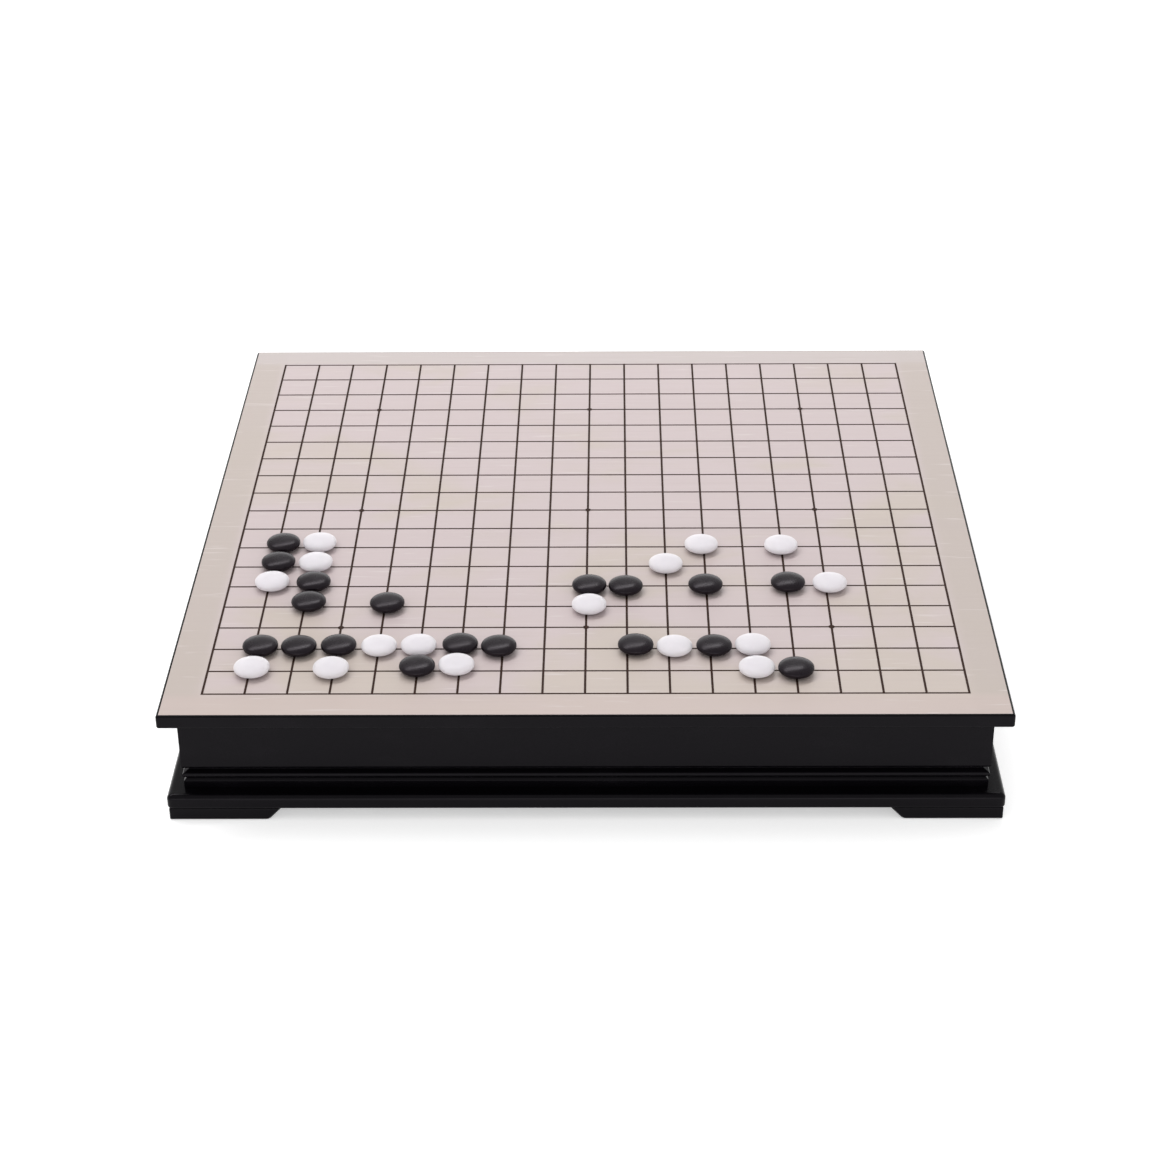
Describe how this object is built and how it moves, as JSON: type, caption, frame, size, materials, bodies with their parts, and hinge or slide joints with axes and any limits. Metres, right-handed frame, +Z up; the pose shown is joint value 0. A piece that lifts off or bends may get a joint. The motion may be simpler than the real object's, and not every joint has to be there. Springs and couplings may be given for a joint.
{
  "type": "go board with stone drawers",
  "caption": "Low lacquered go board table-top: gridded veneer playing surface on a moulded case with side drawers for the stones, bracket feet and loose stones.",
  "frame": {"origin": "on the surface the feet stand on, under the middle of the board", "axes": "+Z up, -Y towards the player at the front, +X to that player's right"},
  "size_m": [0.4384, 0.4384, 0.0721],
  "materials": {
    "black_lacquer": "gloss black lacquer over wood",
    "maple_veneer": "satin varnished pale veneer",
    "line_paint": "matt dark brown screen paint",
    "inner_wood": "bare sanded wood",
    "drawer_wood": "clear sealed wood",
    "felt": "black felt",
    "black_stone": "satin black glass",
    "white_stone": "satin white glass"
  },
  "bodies": {
    "case": {"board_core": "black_lacquer", "board_veneer": "maple_veneer", "lengthwise_lines": "line_paint", "crosswise_lines": "line_paint", "star_points": "line_paint", "front_wall": "black_lacquer", "right_wall": "black_lacquer", "back_wall": "black_lacquer", "left_wall": "black_lacquer", "centre_divider": "inner_wood", "board_dowels": "inner_wood", "base_plate": "black_lacquer", "left_kickers": "inner_wood", "right_kickers": "inner_wood", "front_left_runner": "inner_wood", "front_left_foot": "black_lacquer", "front_right_runner": "inner_wood", "front_right_foot": "black_lacquer", "back_right_runner": "inner_wood", "back_right_foot": "black_lacquer", "back_left_runner": "inner_wood", "back_left_foot": "black_lacquer"},
    "left_drawer": {"left_drawer_front": "black_lacquer", "left_drawer_front_side": "drawer_wood", "left_drawer_back_side": "drawer_wood", "left_drawer_rear": "drawer_wood", "left_drawer_bottom": "drawer_wood", "left_drawer_felt": "felt"},
    "right_drawer": {"right_drawer_front": "black_lacquer", "right_drawer_front_side": "drawer_wood", "right_drawer_back_side": "drawer_wood", "right_drawer_rear": "drawer_wood", "right_drawer_bottom": "drawer_wood", "right_drawer_felt": "felt"},
    "black_stones": {"black_stones": "black_stone"},
    "white_stones": {"white_stones": "white_stone"}
  },
  "joints": [
    {"name": "left_drawer_slide", "type": "slide", "parent": "case", "child": "left_drawer", "axis": [-1, 0, 0], "range_m": [0, 0.15]},
    {"name": "right_drawer_slide", "type": "slide", "parent": "case", "child": "right_drawer", "axis": [1, 0, 0], "range_m": [0, 0.15]},
    {"name": "black_stones_lift", "type": "slide", "parent": "case", "child": "black_stones", "axis": [0, 0, 1], "range_m": [0, 0.04]},
    {"name": "white_stones_lift", "type": "slide", "parent": "case", "child": "white_stones", "axis": [0, 0, 1], "range_m": [0, 0.04]}
  ]
}
